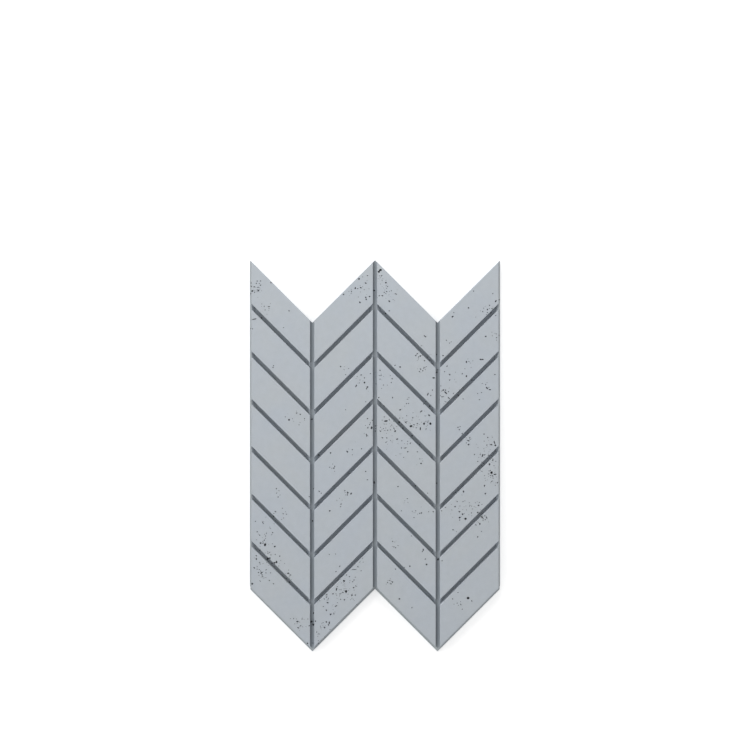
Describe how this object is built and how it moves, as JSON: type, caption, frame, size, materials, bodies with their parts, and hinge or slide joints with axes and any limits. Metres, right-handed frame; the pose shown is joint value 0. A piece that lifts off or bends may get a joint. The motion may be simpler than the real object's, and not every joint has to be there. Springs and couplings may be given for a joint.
{
  "type": "concrete wall panel",
  "caption": "Flat cast concrete panel with a chevron relief of slanted staves and zigzag ends, glued to a wall beside others like it so that the pattern runs on.",
  "frame": {"origin": "on the back face, at the middle of the outline's box", "axes": "+X across the panel, +Y up it as it hangs on a wall, +Z out of its back towards the front; it is stored lying on its back"},
  "size_m": [0.598, 0.9392, 0.025],
  "materials": {
    "concrete": "matte"
  },
  "bodies": {
    "root": {"wall_panel": "concrete"}
  },
  "joints": []
}
